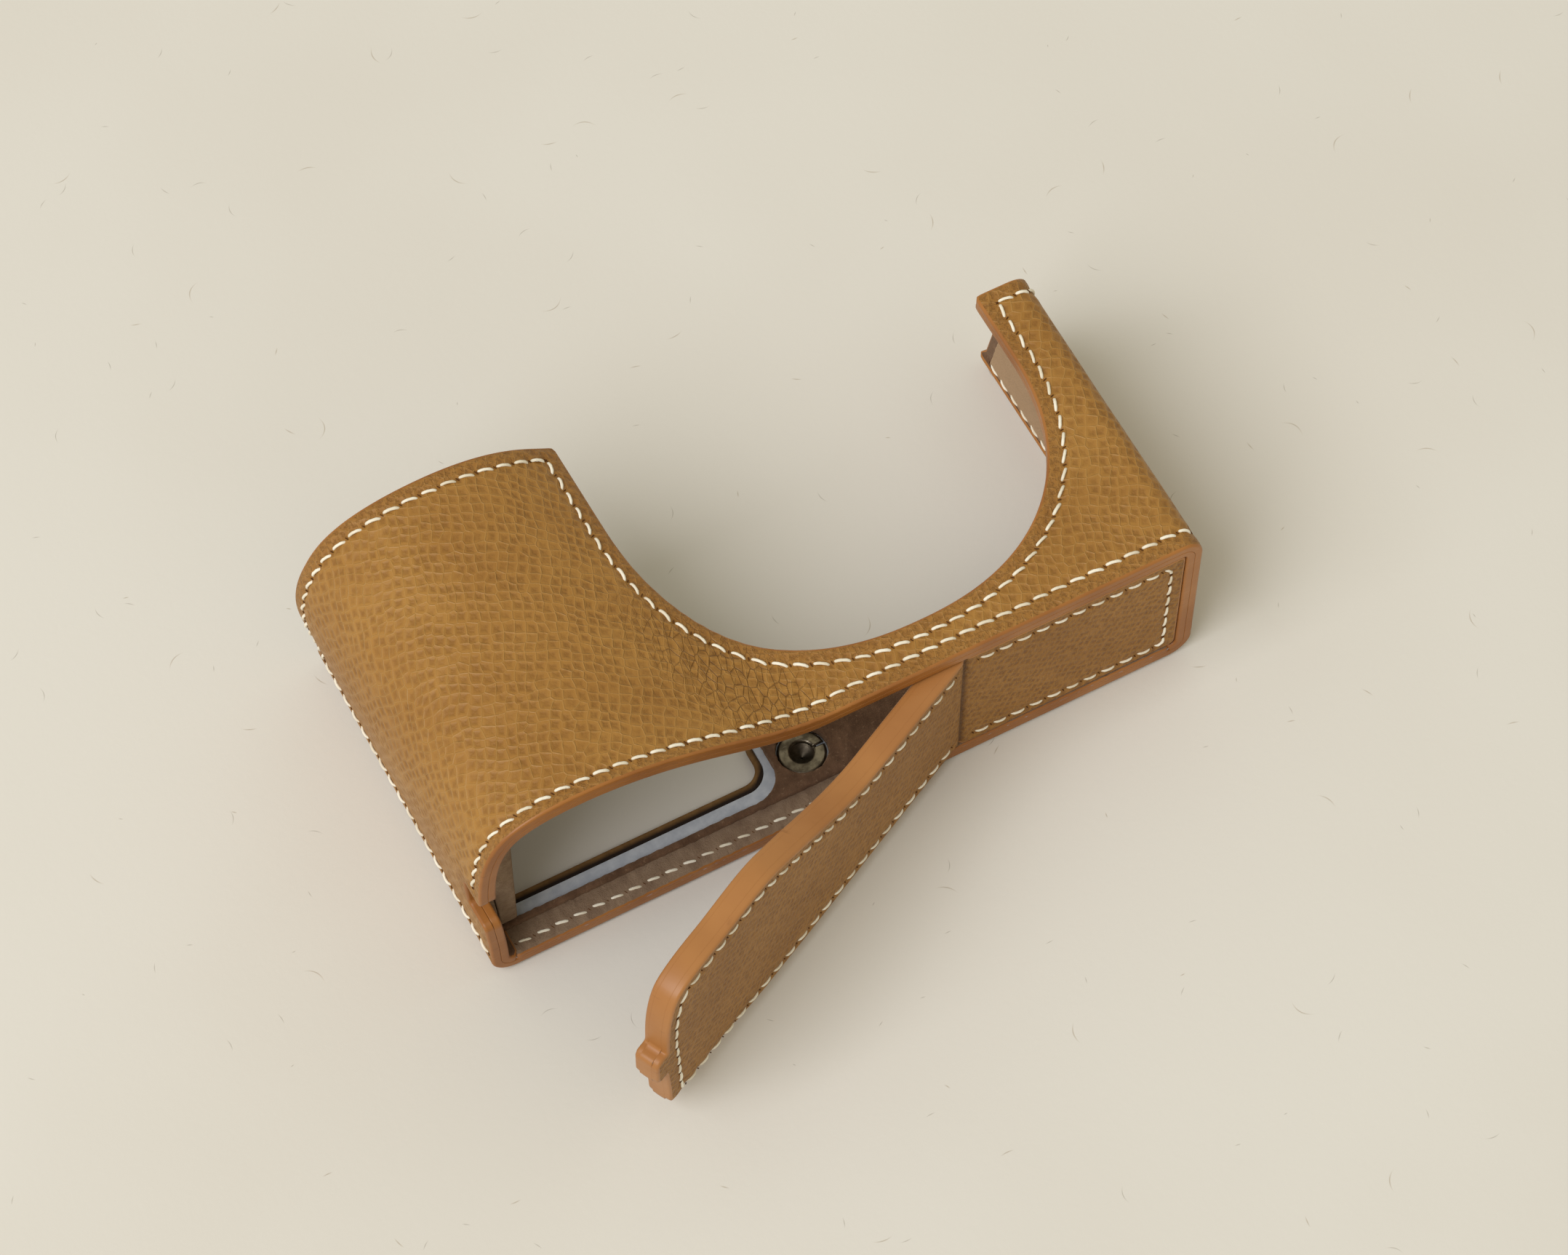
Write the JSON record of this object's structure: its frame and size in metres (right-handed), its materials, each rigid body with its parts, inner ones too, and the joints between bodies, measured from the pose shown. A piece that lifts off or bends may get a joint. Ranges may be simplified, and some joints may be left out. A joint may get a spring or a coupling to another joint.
{
  "type": "leather camera half case",
  "caption": "Fitted leather half case for a compact camera: grip bulge, U-shaped lens opening, cut-down back with a snap, and a hinged bottom flap.",
  "frame": {"origin": "on the flat back face, on the lens axis's line, half way up the tall part of the back panel, 10 mm above the bottom edge", "axes": "+X to the right seen from the front, +Y towards the camera's top, +Z out of the front; the case lies on its back"},
  "size_m": [0.1333, 0.1039, 0.0473],
  "materials": {
    "outer_leather": "embossed cross grain, satin, burnished edges",
    "suede": "napped suede",
    "board": "matt",
    "core": "pressed leather board with painted edges",
    "thread": "waxed linen",
    "snap_metal": "antique plated"
  },
  "bodies": {
    "case": {"front_leather": "outer_leather", "back_leather": "outer_leather", "front_lining": "suede", "back_lining": "suede", "back_stiffener": "board", "front_liner": "suede", "back_liner": "suede", "end_pad": "suede", "panel_leather": "outer_leather", "panel_core": "core", "panel_lining": "suede", "snap_eyelet": "snap_metal", "snap_cap": "snap_metal", "lens_thread": "thread", "grip_top_thread": "thread", "arm_top_thread": "thread", "bottom_thread": "thread", "left_back_thread": "thread", "right_back_thread": "thread", "back_thread": "thread", "panel_thread": "thread"},
    "flap": {"flap_leather": "outer_leather", "flap_core": "core", "flap_lining": "suede", "flap_thread": "thread"}
  },
  "joints": [
    {"name": "flap_hinge", "type": "hinge", "parent": "case", "child": "flap", "pos_m": [0.0038, -0.0098, 0], "axis": [0, 0, 1], "range_deg": [-26.4, 93.6]}
  ]
}
